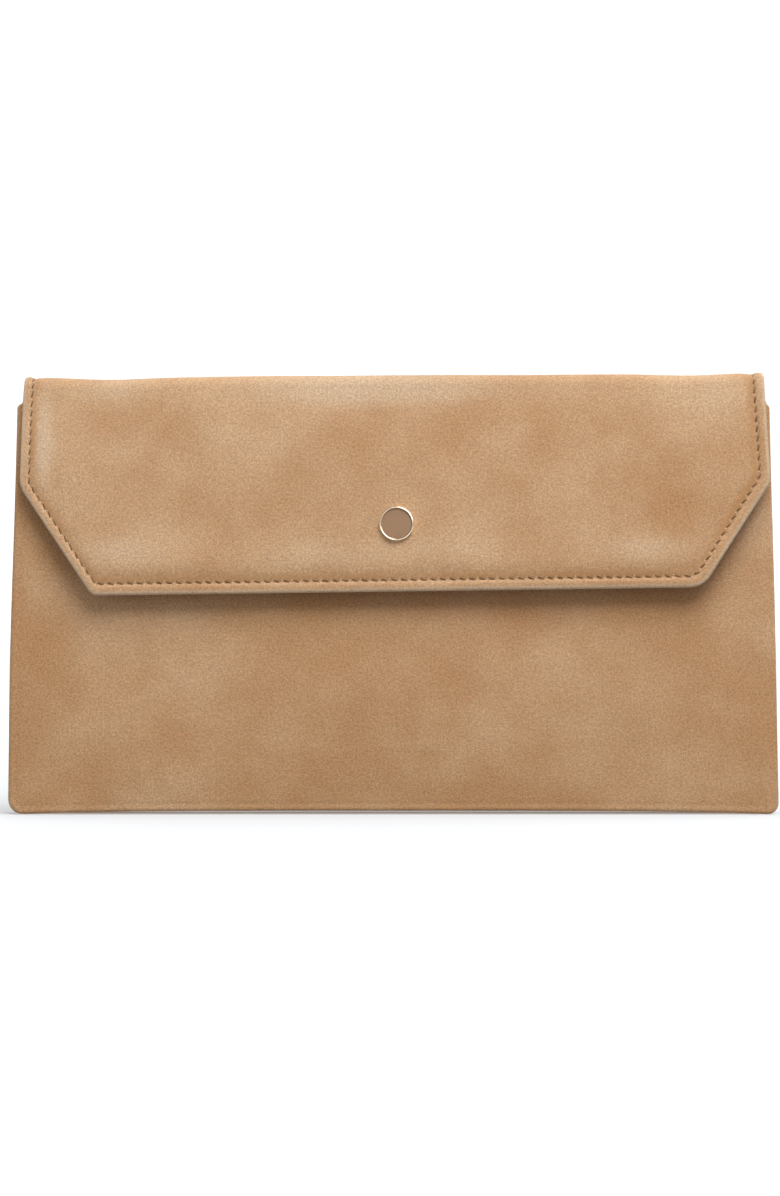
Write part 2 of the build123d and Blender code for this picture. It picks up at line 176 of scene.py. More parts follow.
def wrap(x, t, height):
    """A point of the skin that goes up the back, over the mouth and down the flap.

    t is the way along the skin from the middle of the fold, positive down the flap and
    negative down the back. height is how far the point stands off the outer face.
    """
    away = np.abs(t)
    on_flap = t >= 0
    radius = FOLD_RADIUS + height
    arc = np.where(on_flap, FRONT_ARC, BACK_ARC)
    angle = np.clip((away - HALF_STRIP) / FOLD_RADIUS, 0, arc)
    straight = np.clip(away - HALF_STRIP - FOLD_RADIUS * arc, 0, None)
    side = np.where(on_flap, -1.0, 1.0)
    y = STRIP_MIDDLE_Y + side * (np.clip(away, 0, HALF_STRIP) + radius * np.sin(angle))
    z = BEND_HEIGHT + radius * np.cos(angle)
    lean = np.where(on_flap, FLAP_LEAN, 0.0)
    low = ease(straight, BEND_HEIGHT - 12, BEND_HEIGHT) * np.where(on_flap, 0, 1)
    tuck = FOLD_TUCK * ease(t, 0, FLAP_START) * np.exp(-np.clip(t - FLAP_START, 0, None) / 18)
    points = np.stack([
        np.broadcast_to(x, y.shape),
        y - straight * np.sin(lean) + tuck,
        z - straight * np.cos(lean) + arch(x) * low,
    ], -1)
    return settle(points)


def skin_lift(x, t):
    """How far the skin over back, fold and flap stands off its plan."""
    crown = FOLD_CROWN * hill(t, 0.0, 5.0)
    wave = 0.20 * ripple(x, t, 70.0, 4) + 0.08 * ripple(x, t, 28.0, 9)
    cap_distance = np.hypot(x - CAP_ASIDE, t - FLAP_START - CAP_DOWN)
    padding = HEM_PADDING * hill(t, FLAP_START + FLAP_LENGTH - 11, 9)
    return crown + wave + padding - CAP_DIMPLE * hill(cap_distance, 0, 8.5)


def on_flap(x, t, height):
    """The flap, whose end is sewn a little out of square."""
    down = np.clip(t - FLAP_START, 0, None)
    along = t - down * FLAP_SKEW * x
    return wrap(x, along, height + skin_lift(x, along))


def on_back(x, t, height):
    """The back; t grows from the middle of the fold down to the base."""
    return wrap(x, -t, height + skin_lift(x, -t))


def on_front(x, t, height):
    """The front; t is minus the way up its outer face."""
    up = -t
    belly = FRONT_BELLY * np.sin(np.clip(up / 85, 0, 1) * math.pi) * (1 - (x / 150) ** 2)
    wave = 0.28 * ripple(x, up, 75.0, 21) + 0.10 * ripple(x, up, 30.0, 23)
    out = height + (belly + wave) * ease(up, 0, 14) * (1 - 0.8 * ease(up, 138, 152))
    along = up + arch(x) * (1 - ease(up, 0, 12))
    y = -HALF_DEPTH + along * math.sin(FRONT_LEAN) - out * math.cos(FRONT_LEAN)
    z = along * math.cos(FRONT_LEAN) + out * math.sin(FRONT_LEAN)
    return np.stack([spread(x, z), y, np.maximum(z, 0.02)], -1)


def on_base(x, t, height):
    """The base's underside; t runs from the front to the back."""
    z = arch(x) - height + 0.02
    return np.stack([np.broadcast_to(x, z.shape), np.broadcast_to(t, z.shape), z], -1)


def inside(place, depth):
    """The same surface seen from inside, at a depth under the outer face."""
    def turned(x, t, height):
        return place(x, t, -depth - height)
    return turned


def on_gusset(side):
    """A side gusset, folded inwards in a V. x runs over the fold from front to back."""
    def section(run, up):
        share = run / GUSSET_HALF_RUN
        middle = up * math.tan(FRONT_LEAN / 2)
        half_gap = HALF_DEPTH - SKIN + 0.6 - middle
        depth = GUSSET_DEPTH_LOW + GUSSET_DEPTH_GAIN * np.clip(up / GUSSET_TOP, 0, 1)
        fold = 1 - np.sqrt(share ** 2 + 0.012) / math.sqrt(1.012)
        slack = GUSSET_SLACK * ripple(run + 40 * side, up, 50.0, 31) * (1 - share ** 2)
        radius = FOOT_RADIUS * (LEFT_FOOT if side < 0 else 1)
        below = np.clip(radius - up, 0, radius)
        rounded = radius - np.sqrt(radius ** 2 - below ** 2)
        x = side_half_width(up) - 1.1 - (depth * fold) + 0.35 * slack - rounded
        y = middle + half_gap * share + 0.4 * slack
        return np.stack([side * x, y, up + 0 * x], -1)

    def place(run, t, height):
        up = -t
        across = section(run + 0.05, up) - section(run - 0.05, up)
        normal = np.stack([across[..., 1], -across[..., 0], 0 * across[..., 0]], -1)
        normal = normal / np.linalg.norm(normal, axis=-1, keepdims=True)
        outward = np.sign(normal[..., :1] * side + 1e-9)
        return section(run, up) + normal * outward * height[..., None]
    return place


# ---------------- outlines and sheets


def corner_arc(before, after, radius, inset):
    """The points of a rounded corner between two straight runs, each a start and a way."""
    (start, way), (next_start, next_way) = before, after
    corner = start + way * np.linalg.solve(np.array([way, -next_way]).T, next_start - start)[0]
    turn = way[0] * next_way[1] - way[1] * next_way[0]
    angle = math.atan2(turn, float(way @ next_way))
    side = 1 if angle > 0 else -1
    radius = max(radius + side * inset, 0.5)
    first = corner - way * radius * math.tan(abs(angle) / 2)
    centre = first + side * radius * np.array([-way[1], way[0]])
    v = first - centre
    arc = []
    for k in range(ARC_STEPS + 1):
        c, s = math.cos(angle * k / ARC_STEPS), math.sin(angle * k / ARC_STEPS)
        arc.append(centre + np.array([v[0] * c - v[1] * s, v[0] * s + v[1] * c]))
    return arc


def ring(corners, inset, closed):
    """The outline drawn in by an inset, and where each corner's middle point is in it.

    A corner is (x, t, radius, fractions); fractions place the points of the straight run
    after it, and a fifth value scales that run's inset. An open outline starts and ends
    level with its first and last corners.
    """
    points = np.array([c[:2] for c in corners], float)
    count = len(points)
    runs = []
    for i in range(count if closed else count - 1):
        way = points[(i + 1) % count] - points[i]
        way = way / np.linalg.norm(way)
        drawn = inset * (corners[i][4] if len(corners[i]) > 4 else 1.0)
        runs.append((points[i] + drawn * np.array([way[1], -way[0]]), way))

    arcs = []
    for i in range(count):
        if not closed and i in (0, count - 1):
            start, way = runs[0 if i == 0 else -1]
            arcs.append([start + way * ((points[i][1] - start[1]) / way[1])])
        else:
            arcs.append(corner_arc(runs[i - 1], runs[i], corners[i][2], inset))

    out, middles = [], []
    for i in range(count):
        middles.append(len(out) + len(arcs[i]) // 2)
        out += arcs[i]
        if i < len(runs):
            a, b = arcs[i][-1], arcs[(i + 1) % count][0]
            out += [a + (b - a) * f for f in corners[i][3]]
    if closed:
        out = out[middles[0]:] + out[:middles[0]]
        middles = [(m - middles[0]) % len(out) for m in middles]
    return np.array(out), middles


def fill(left, bottom, right, top):
    """Points that fill four joined sides, row by row from the top."""
    v = fractions(left)[:, None, None]
    u = fractions(bottom)[None, :, None]
    rows = (1 - v) * top[None] + v * bottom[None] + (1 - u) * left[:, None] + u * right[:, None]
    rows = rows - (1 - u) * (1 - v) * top[0] - u * (1 - v) * top[-1]
    return rows - (1 - u) * v * bottom[0] - u * v * bottom[-1]


def fractions(line):
    """How far along a line each of its points is, from 0 to 1."""
    lengths = np.linalg.norm(np.diff(line, axis=0), axis=1)
    return np.concatenate([[0], np.cumsum(lengths)]) / lengths.sum()


def path_lengths(line):
    """How far along a line each of its points is."""
    return np.concatenate([[0], np.cumsum(np.linalg.norm(np.diff(line, axis=0), axis=1))])


def grid_sides(size, corners):
    """Which points of an outline its grid's left, bottom, right and top sides run over.

    Left and right run down, bottom and top run to the right. An open outline has no top.
    """
    closed = len(corners) == 4
    tl, bl, br, tr = corners if closed else (0, *corners, size - 1)
    top = np.append(0, np.arange(size - 1, tr - 1, -1)) if closed else None
    return np.arange(tl, bl + 1), np.arange(bl, br + 1), np.arange(tr, br - 1, -1), top


def grid_faces(ids, turned):
    """Quads over a grid of point numbers, turned over for the inner face."""
    quads = np.stack([ids[:-1, :-1], ids[1:, :-1], ids[1:, 1:], ids[:-1, 1:]], -1).reshape(-1, 4)
    return [tuple(quad[::-1] if turned else quad) for quad in quads]


class Sheet:
    """A sheet with a worked edge: rings along its outline, and a grid inside on each face.

    profile is a list of (inset, height), from the outer face round the edge to the inner
    face. grid_corners are the four corners (two, if open) that the grid is stretched over.
    """

    def __init__(self, corners, grid_corners, profile):
        closed = len(grid_corners) == 4
        outlines = [ring(corners, inset, closed) for inset, _ in profile]
        self.rings, self.size = len(profile), len(outlines[0][0])
        self.faces = self.edge_faces(closed)
        points = [line for line, _ in outlines]
        levels = [np.full((self.size, 2), level) for level in profile]
        for which in (0, self.rings - 1):
            loop, middles = outlines[which]
            left, bottom, right, top = grid_sides(self.size, [middles[c] for c in grid_corners])
            share = np.linspace(0, 1, len(bottom))[:, None]
            top_points = loop[0] * (1 - share) + loop[-1] * share if top is None else loop[top]
            rows = fill(loop[left], loop[bottom], loop[right], top_points)
            ids = np.full(rows.shape[:2], -1)
            first = which * self.size
            ids[:, 0], ids[:, -1], ids[-1, :] = first + left, first + right, first + bottom
            if top is not None:
                ids[0, :] = first + top
            new = ids < 0
            ids[new] = sum(len(group) for group in points) + np.arange(new.sum())
            points.append(rows[new])
            levels.append(np.full((new.sum(), 2), (FAR_FROM_EDGE, profile[which][1])))
            self.faces += grid_faces(ids, which > 0)
        self.x, self.t = np.concatenate(points).T
        self.inset, self.height = np.ascontiguousarray(np.concatenate(levels).T)
        self.thickness = profile[0][1] - profile[-1][1]
        self.outer = self.height > profile[0][1] - self.thickness * 0.45

    def edge_faces(self, closed):
        """Quads between each ring and the next."""
        faces = []
        for k in range(self.rings - 1):
            low, high = k * self.size, (k + 1) * self.size
            for i in range(self.size if closed else self.size - 1):
                j = (i + 1) % self.size
                faces.append((low + i, high + i, high + j, low + j))
        return faces

    def build(self, name, place, material, slot, shift=0.0, seam=None, nap=None, worn=None):
        """Lays the sheet on a surface, with what the material reads: pattern, edge, seam and nap."""
        points = place(self.x, self.t, self.height)
        # worn marks the stitched stretches of an edge, which get a rim of wear and painted sheen, painted
        # shade inside the stitch line and darkened stitch grooves
        near = self.outer if worn is None else self.outer & (worn > 0.5)
        edge = np.where(near, self.inset, FAR_FROM_EDGE)
        pattern = np.stack([self.x + shift, self.t, self.height], -1)
        obj = add_mesh(name, points, self.faces, material, pattern)
        add_value(obj, "edge", edge)
        add_value(obj, "seam", np.zeros(len(edge)) if seam is None else seam)
        add_value(obj, "nap", np.zeros(len(edge)) if nap is None else nap)
        return obj


def edge_profile(insets, top_height, thickness, radius, under=(2.2, 5.0)):
    """Insets and heights over a rounded edge, from the outer face to the inner one."""
    profile = [(i, top_height(i)) for i in insets]
    rim = top_height(radius)
    for angle in np.radians([70, 50, 30, 10]):
        profile.append((radius * (1 - math.cos(angle)), rim - radius + radius * math.sin(angle)))
    for angle in np.radians([10, 30, 50, 70, 90]):
        inset = radius * (1 - math.cos(angle))
        profile.append((inset, rim - thickness + radius - radius * math.sin(angle)))
    return profile + [(i, -thickness) for i in under]


def add_mesh(name, points, faces, material, pattern):
    """A smooth mesh object from points in millimetres, with its faces turned outwards."""
    points = np.asarray(points, float)
    faces = [tuple(int(i) for i in f) for f in faces]
    quads = np.array([face[:4] for face in faces])
    a, b, c, d = [points[quads[:, k]] - points.mean(axis=0) for k in range(4)]
    volume = np.sum(a * (np.cross(b, c) + np.cross(c, d)))
    if volume < 0:
        faces = [face[::-1] for face in faces]
    mesh = bpy.data.meshes.new(name)
    mesh.from_pydata((points * MM).tolist(), [], faces)
    mesh.update()
    mesh.shade_smooth()
    mesh.materials.append(material)
    attribute = mesh.attributes.new("pattern", "FLOAT_VECTOR", "POINT")
    attribute.data.foreach_set("vector", np.asarray(pattern, np.float32).ravel())
    obj = bpy.data.objects.new(name, mesh)
    bpy.context.scene.collection.objects.link(obj)
    return obj


def add_value(obj, name, values):
    """Stores one number per point for the material to read."""
    attribute = obj.data.attributes.new(name, "FLOAT", "POINT")
    attribute.data.foreach_set("value", np.asarray(values, np.float32))


# ---------------- stitches and turned parts

STITCH_LONG = 2.15
STITCH_WIDE = 0.27
STITCH_HIGH = 0.30
STITCH_SLANT = 0.24
# How deep the groove between a stitch's two plies is, as a share of its radius, and how fast it winds
PLY_GROOVE = 0.16
PLY_TWIST = 6.5
STITCH_RISE = 0.10
STITCH_DIVE = 0.22
STITCH_ALONG = 13
STITCH_AROUND = 8


def stitch_faces(count):
    """The faces of a row of stitches, each a tube closed at both ends."""
    faces = []
    each = STITCH_ALONG * STITCH_AROUND
    for n in range(count):
        for i in range(STITCH_ALONG - 1):
            a, b = n * each + i * STITCH_AROUND, n * each + (i + 1) * STITCH_AROUND
            for j in range(STITCH_AROUND):
                k = (j + 1) % STITCH_AROUND
                faces.append((a + j, a + k, b + k, b + j))
        faces.append(tuple(n * each + j for j in reversed(range(STITCH_AROUND))))
        faces.append(tuple(n * each + each - STITCH_AROUND + j for j in range(STITCH_AROUND)))
    return faces


def add_stitches(name, line, pitch, place, base_height, material):
    """A row of slanted two-ply stitches along a line of (x, t) points."""
    lengths = path_lengths(line)
    centres = (np.arange(int(round(lengths[-1] / pitch))) + 0.5) * pitch
    rng = np.random.default_rng(len(centres))
    along = np.linspace(-1, 1, STITCH_ALONG)
    around = np.arange(STITCH_AROUND) * 2 * math.pi / STITCH_AROUND
    taper = np.sqrt(np.clip(1 - np.abs(along) ** 3, 0.01, 1))
    x, t, height = [], [], []
    for centre in centres:
        jitter = rng.normal(0, 1, 3)
        way = centre + along * (STITCH_LONG / 2) * (1 + 0.06 * jitter[0])
        px, pt = [np.interp(way, lengths, line[:, k]) for k in (0, 1)]
        ends = (centre - 0.5, centre + 0.5)
        dx, dt = [np.diff(np.interp(ends, lengths, line[:, k]))[0] for k in (0, 1)]
        size = math.hypot(dx, dt)
        side = np.array([-dt, dx]) / size
        slant = 0.05 * jitter[1] + STITCH_SLANT * along
        ply = 1 + PLY_GROOVE * np.cos(2 * around[None, :] - PLY_TWIST * along[:, None])
        off = slant[:, None] + STITCH_WIDE / 2 * taper[:, None] * ply * np.cos(around)[None, :]
        rise = STITCH_RISE * (1 - along ** 2) - STITCH_DIVE * np.abs(along) ** 4 + 0.02 * jitter[2]
        up = rise[:, None] + STITCH_HIGH / 2 * taper[:, None] * ply * np.sin(around)[None, :]
        x.append(px[:, None] + off * side[0])
        t.append(pt[:, None] + off * side[1])
        height.append(base_height + up)
    x, t, height = [np.array(v).reshape(-1) for v in (x, t, height)]
    pattern = np.stack([x, t, height], -1)
    obj = add_mesh(name, place(x, t, height), stitch_faces(len(centres)), material, pattern)
    return obj


def add_turned(name, profile, centre, axis, material):
    """A round part turned from (radius, height) points about an axis."""
    axis = np.array(axis, float)
    across = np.array([1.0, 0, 0])
    third = np.cross(axis, across)
    turns = np.arange(TURN_STEPS) * 2 * math.pi / TURN_STEPS
    points, faces = [], []
    for radius, height in profile:
        for turn in turns:
            outwards = across * math.cos(turn) + third * math.sin(turn)
            points.append(centre + axis * height + radius * outwards)
    for i in range(len(profile) - 1):
        low, high = i * TURN_STEPS, (i + 1) * TURN_STEPS
        for j in range(TURN_STEPS):
            k = (j + 1) % TURN_STEPS
            faces.append((low + j, low + k, high + k, high + j))
    last = (len(profile) - 1) * TURN_STEPS
    faces.append(tuple(reversed(range(TURN_STEPS))))
    faces.append(tuple(last + j for j in range(TURN_STEPS)))
    points = np.array(points)
    obj = add_mesh(name, points, faces, material, points)
    return obj


# ---------------- materials


class Nodes:
    """Short calls for building a material's node tree."""

    def __init__(self, name):
        self.material = bpy.data.materials.new(name)
        self.material.use_nodes = True
        self.tree = self.material.node_tree
        self.shader = self.tree.nodes["Principled BSDF"]

    def put(self, kind, inputs=(), **settings):
        """Adds a node, feeds its inputs and sets its settings."""
        node = self.tree.nodes.new(kind)
        for key, value in settings.items():
            setattr(node, key, value)
        for key, value in dict(inputs).items():
            self.feed(node.inputs[key], value)
        return node

    def feed(self, socket, value):
        """Links an output to a socket, or sets the socket to a constant."""
        if isinstance(value, bpy.types.NodeSocket):
            self.tree.links.new(value, socket)
        else:
            socket.default_value = value

    def noise(self, where, scale, detail=2.0, roughness=0.5, distortion=0.0):
        inputs = {"Vector": where, "Scale": scale, "Detail": detail}
        inputs.update({"Roughness": roughness, "Distortion": distortion})
        return self.put("ShaderNodeTexNoise", inputs).outputs["Fac"]

    def maths(self, operation, a, b=0.0):
        return self.put("ShaderNodeMath", {0: a, 1: b}, operation=operation).outputs[0]

    def plus(self, a, b):
        return self.maths("ADD", a, b)

    def minus(self, a, b):
        return self.maths("SUBTRACT", a, b)

    def times(self, a, b):
        return self.maths("MULTIPLY", a, b)

    def span(self, value, low, high, out_low=0.0, out_high=1.0):
        """Eases a value from one range into another."""
        inputs = {"Value": value, "From Min": low, "From Max": high}
        inputs.update({"To Min": out_low, "To Max": out_high})
        node = self.put("ShaderNodeMapRange", inputs, interpolation_type="SMOOTHSTEP")
        return node.outputs["Result"]

    def mix(self, share, a, b, blend="MIX"):
        node = self.put("ShaderNodeMix", data_type="RGBA", blend_type=blend)
        self.feed(node.inputs["Factor"], share)
        self.feed(node.inputs[6], a)
        self.feed(node.inputs[7], b)
        return node.outputs[2]

    def shade(self, colour, tone):
        """A colour made darker or lighter by a factor."""
        grey = self.put("ShaderNodeCombineColor", {0: tone, 1: tone, 2: tone}).outputs[0]
        return self.mix(1.0, colour, grey, "MULTIPLY")

    def bump(self, height, distance, normal=None):
        inputs = {"Height": height, "Strength": 1.0, "Distance": distance}
        node = self.put("ShaderNodeBump", inputs)
        if normal is not None:
            self.feed(node.inputs["Normal"], normal)
        return node.outputs["Normal"]

    def attribute(self, name, output="Fac"):
        return self.put("ShaderNodeAttribute", attribute_name=name).outputs[output]

    def surface(self, **sockets):
        """Feeds the shader's sockets, whose names are written with _ for spaces."""
        for key, value in sockets.items():
            self.feed(self.shader.inputs[key.replace("_", " ")], value)
        return self.material


def rgb(red, green, blue):
    """A linear colour from the 0 to 255 values a screen shows."""
    def line(v):
        v = v / 255
        return v / 12.92 if v <= 0.04045 else ((v + 0.055) / 1.055) ** 2.4
    return (line(red), line(green), line(blue), 1.0)


# The shade in the hole that the needle leaves
NEEDLE = rgb(76, 46, 16)


def suede(name, dark, light, groove_shade, pale_nap_and_highlight, deep_nap_and_shade):
    """Napped leather: soft patches where the nap lies differently, fine fibres, worn edges with a painted
    sheen, and the dimples that stitches pull into it.
    It also paints shade inside the stitch line and in the stitch grooves, highlights between stitches, and
    the light and shade that the nap attribute carries."""
    n = Nodes(name)
    where = n.attribute("pattern", "Vector")
    edge, seam, lie = n.attribute("edge"), n.attribute("seam"), n.attribute("nap")
    broad = n.noise(where, 0.014, 2.0, 0.5, 0.2)
    patches = n.noise(where, 0.05, 2.0, 0.5, 0.2)
    mottle = n.noise(where, 0.28, 3.0, 0.6)
    nap = n.noise(where, 1.25, 2.0, 0.6, 0.5)
    fibres = n.noise(where, 2.4, 2.0, 0.6, 0.3)
    tone = n.plus(n.times(broad, 0.6), n.times(patches, 0.4))
    tone = n.plus(tone, n.times(n.minus(mottle, 0.5), 0.12))
    # The nap attribute carries the nap's patches as well as painted light and shade: a lighter top of the
    # flap, and a front painted darker, most under the flap's edge and along its foot
    tone = n.plus(tone, n.times(lie, 0.13))
    colour = n.mix(n.span(tone, 0.22, 0.80), dark, light)
    colour = n.mix(n.span(lie, 0.2, 1.1, 0.0, 0.55), colour, pale_nap_and_highlight)
    colour = n.mix(n.span(lie, -0.7, -1.5, 0.0, 0.6), colour, deep_nap_and_shade)
    grain = n.plus(n.times(nap, 0.55), n.times(fibres, 0.45))
    colour = n.shade(colour, n.span(grain, 0.36, 0.64, 0.76, 1.20))
    # Painted shade: a warmer, darker band on the slope down to the stitch line
    groove_shade_mask = n.times(n.span(edge, 2.9, 3.7), n.span(edge, 7.0, 4.2))
    colour = n.mix(n.times(groove_shade_mask, n.span(patches, 0.35, 0.6, 0.25, 0.65)), colour, groove_shade)
    # The rim of a worked edge is paler: partly wear, partly a painted sheen
    rim = n.times(n.span(edge, 1.5, 0.5), n.span(nap, 0.3, 0.6, 0.4, 0.9))
    colour = n.mix(rim, colour, pale_nap_and_highlight)
    along = n.minus(n.maths("FRACT", seam), 0.5)
    phase = n.maths("ABSOLUTE", along)
    slant = n.times(along, 2 * STITCH_SLANT * STITCH_PITCH / STITCH_LONG)
    aside = n.maths("ABSOLUTE", n.minus(n.plus(edge, slant), STITCH_INSET))
    # Painted shade: the groove under each stitch is darkened towards the needle-hole shade
    dimple = n.times(n.span(aside, 0.34, 0.06), n.span(phase, 0.32, 0.22))
    colour = n.mix(n.times(dimple, 0.75), colour, NEEDLE)
    # Painted highlight: the raised leather between stitches is paler
    between = n.times(n.span(aside, 0.55, 0.1), n.span(phase, 0.36, 0.46))
    colour = n.mix(n.times(between, 0.6), colour, pale_nap_and_highlight)
    normal = n.bump(n.minus(between, dimple), 0.0002)
    height = n.plus(n.times(nap, 0.6), n.times(fibres, 0.4))
    normal = n.bump(height, 0.00016, normal)
    normal = n.bump(patches, 0.0003, normal)
    n.surface(Base_Color=colour, Normal=normal)
    n.surface(Roughness=n.span(nap, 0.3, 0.7, 0.88, 0.98), Specular_IOR_Level=0.15)
    return n.surface(Sheen_Weight=0.30, Sheen_Roughness=0.5, Sheen_Tint=(1.0, 0.88, 0.78, 1.0))


def woven(name, thread_a, thread_b, pitch):
    """Plain woven cloth: threads over and under each other."""
    n = Nodes(name)
    where = n.attribute("pattern", "Vector")
    parts = n.put("ShaderNodeSeparateXYZ", {0: where}).outputs
    bend = n.times(n.noise(where, 0.12, 2.0), 0.6)
    turns = 2 * math.pi / pitch
    warp = n.maths("SINE", n.times(n.plus(parts[0], bend), turns))
    weft = n.maths("SINE", n.times(n.plus(parts[1], bend), turns))
    over = n.times(warp, weft)
    colour = n.mix(n.span(over, -0.6, 0.6), thread_a, thread_b)
    colour = n.shade(colour, n.span(n.noise(where, 0.5, 3.0, 0.7), 0.3, 0.7, 0.84, 1.10))
    return n.surface(Base_Color=colour, Normal=n.bump(over, 0.00008), Roughness=0.82, Sheen_Weight=0.15)


def twisted_thread(name, dark, light):
    """Twisted thread."""
    n = Nodes(name)
    where = n.attribute("pattern", "Vector")
    parts = n.put("ShaderNodeSeparateXYZ", {0: where}).outputs
    slant = n.plus(parts[0], n.times(parts[1], 0.8))
    twist = n.maths("SINE", n.times(slant, 16.0))
    tone = n.plus(n.times(twist, 0.2), n.noise(where, 3.0, 2.0))
    n.surface(Base_Color=n.mix(n.span(tone, 0.2, 0.8), dark, light))
    return n.surface(Normal=n.bump(twist, 0.00003), Roughness=0.6)


def metal(name, colour, roughness, spread):
    """Plated metal with faint brushing and wear."""
    n = Nodes(name)
    where = n.put("ShaderNodeTexCoord").outputs["Object"]
    fine = n.noise(where, 2600.0, 3.0, 0.6)
    broad = n.noise(where, 420.0, 2.0)
    worn = tuple(v * 0.86 for v in colour[:3]) + (1.0,)
    n.surface(Base_Color=n.mix(n.span(broad, 0.3, 0.7), colour, worn), Metallic=1.0)
    n.surface(Roughness=n.span(fine, 0.3, 0.7, roughness, roughness + spread))
    return n.surface(Normal=n.bump(fine, 0.000004))


def satin_disc(name, colour):
    """Satin lacquer with a faint speckle."""
    n = Nodes(name)
    where = n.put("ShaderNodeTexCoord").outputs["Object"]
    fine = n.noise(where, 1800.0, 3.0, 0.6)
    bright = tuple(v * 1.12 for v in colour[:3]) + (1.0,)
    n.surface(Base_Color=n.mix(n.span(fine, 0.3, 0.7), colour, bright), Metallic=0.25)
    return n.surface(Roughness=n.span(fine, 0.3, 0.7, 0.45, 0.6), Normal=n.bump(fine, 0.000005))


# A redder, darker colour for darker nap and for the painted shade on the front
DEEP_NAP_AND_SHADE = rgb(170, 112, 72)
SUEDE = suede("suede", rgb(178, 134, 92), rgb(203, 168, 132), rgb(172, 124, 76), rgb(206, 181, 153), DEEP_NAP_AND_SHADE)
SUEDE_INSIDE = suede(
    "suede_inside", rgb(166, 124, 86), rgb(194, 158, 122), rgb(160, 114, 72), rgb(194, 166, 134), DEEP_NAP_AND_SHADE
)
SUEDE_GUSSET = suede(
    "suede_gusset", rgb(164, 122, 84), rgb(192, 156, 120), rgb(160, 114, 72), rgb(192, 162, 130), DEEP_NAP_AND_SHADE
)
LINING = woven("lining", rgb(196, 178, 150), rgb(170, 150, 120), 0.8)
THREAD = twisted_thread("thread", rgb(92, 60, 24), rgb(160, 118, 70))
GOLD = metal("gold_metal", rgb(250, 236, 210), 0.14, 0.08)
DISC = satin_disc("taupe_disc", rgb(131, 101, 74))
STEEL = metal("steel", rgb(190, 190, 192), 0.3, 0.15)

# ---------------- outer skins

# How far in from the edge the rings of a skin and of a thin sheet lie
SIDE_INSETS = (16, 13, 10.8, 9.2, 8.0, 7.0, 6.1, 5.3, 4.7, 4.2, 3.8, 3.5, 3.2, 2.9, 2.5, 2.1, 1.7, 1.3)
THIN_INSETS = (6.0, 4.0, 3.4, 2.6, 1.6, 0.9)


def stitched(inset):
    """The height of the outer face near a stitched edge: a groove, and a slope down to it."""
    dive = 0.55 * (1 - ease(inset, STITCH_INSET, 8.5)) * ease(inset, 2.2, STITCH_INSET)
    return 0.05 * hill(inset, 1.8, 0.9) - 0.22 * hill(inset, STITCH_INSET, 0.5) - dive


def turned_seam(inset):
    """The height of the outer face near a turned seam: a faint dip along it."""
    return 0.05 * hill(inset, 6.0, 2.0) - 0.10 * hill(inset, 2.8, 1.0)


def flat(inset):
    """The height of a plain face."""
    return 0.0 * inset


def facing_groove(inset):
    """The height of the flap's facing: a groove where the stitches come through."""
    return -0.25 * hill(inset, STITCH_INSET - FACING_INSET, 0.5)


def thin_profile(thickness, height=flat, radius=None):
    """A thin sheet's worked edge."""
    return edge_profile(THIN_INSETS, height, thickness, radius or thickness / 2)


# How much further the stitches keep from the flap's edge along its end, right cut and right side
END_SEAM = 1.25
RIGHT_CUT_SEAM = 1.3
RIGHT_SEAM = 1.18


def flap_corners(sink=0.0):
    """The flap's outline along the skin, from the middle of the fold and back to it."""
    side, end = FLAP_START + FLAP_CORNER_DOWN, FLAP_START + FLAP_LENGTH
    over_fold = np.linspace(0, FLAP_START + 1.5, 18)[1:]
    below = np.linspace(FLAP_START + 1.5, side, 15)[1:-1]
    rows = np.concatenate([over_fold, below]) / side
    return [
        (-FOLD_HALF_WIDTH + sink, 0, 0, rows),
        (-141.1 + sink, side, 9.0, steps(18)),
        (-113.6 + sink * 0.6, end - sink, 4.5, steps(ACROSS), END_SEAM),
        (116.6 - sink * 0.6, end - sink, 9.0, steps(18), RIGHT_CUT_SEAM),
        (142.4 - sink, side, 9.0, (1 - rows)[::-1], RIGHT_SEAM),
        (FOLD_HALF_WIDTH - sink, 0, 0, ()),
    ]


def back_corners(sink=0.0, bottom=0.0, radius=FOOT_RADIUS, rows=UPWARD):
    """The back's outline along the skin, from the middle of the fold down and back."""
    waist, shoulder, foot = BACK_START + 0.5, BACK_END - MOUTH_HEIGHT + 0.6, BACK_END - bottom
    low = side_half_width(bottom) - sink
    top, middle = FOLD_HALF_WIDTH - sink, MOUTH_HALF_WIDTH - sink
    return [
        (-top, 0, 0, steps(18)),
        (-top, waist, 1.5, steps(5)),
        (-middle, shoulder, 2.0, steps(rows)),
        (-low, foot, radius * LEFT_FOOT, steps(ACROSS)),
        (low, foot, radius, steps(rows)),
        (middle, shoulder, 2.0, steps(5)),
        (top, waist, 1.5, steps(18), RIGHT_SEAM),
        (top, 0, 0, ()),
    ]


def panel_corners(sink, bottom, top, radius=FOOT_RADIUS, top_radius=2.0, rows=UPWARD):
    """An outline between two heights of the body, with t running down."""
    low, high = side_half_width(bottom) - sink, side_half_width(top) - sink
    return [
        (-high, -top, top_radius, steps(rows)),
        (-low, -bottom, radius * LEFT_FOOT, steps(ACROSS)),
        (low, -bottom, radius, steps(rows)),
        (high, -top, top_radius, steps(ACROSS)),
    ]


def bend_at_back(obj):
    """Bakes the piece's placing into its points."""
    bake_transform(obj)


def bend_at_flap(obj):
    """Bakes the piece's placing into its points."""
    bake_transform(obj)


def bend_with_mouth(obj):
    """Bakes the gusset's placing into its points."""
    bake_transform(obj)


def nap_and_light_patches(patches, x, t):
    """Where the nap is brushed lighter (positive) or darker, and where light and shade are painted: soft
    patches.
    """
    total = np.zeros_like(x)
    for px, pt, wide, high, amount in patches:
        total = total + amount * np.exp(-(((x - px) / wide) ** 2) - (((t - pt) / high) ** 2))
    return total


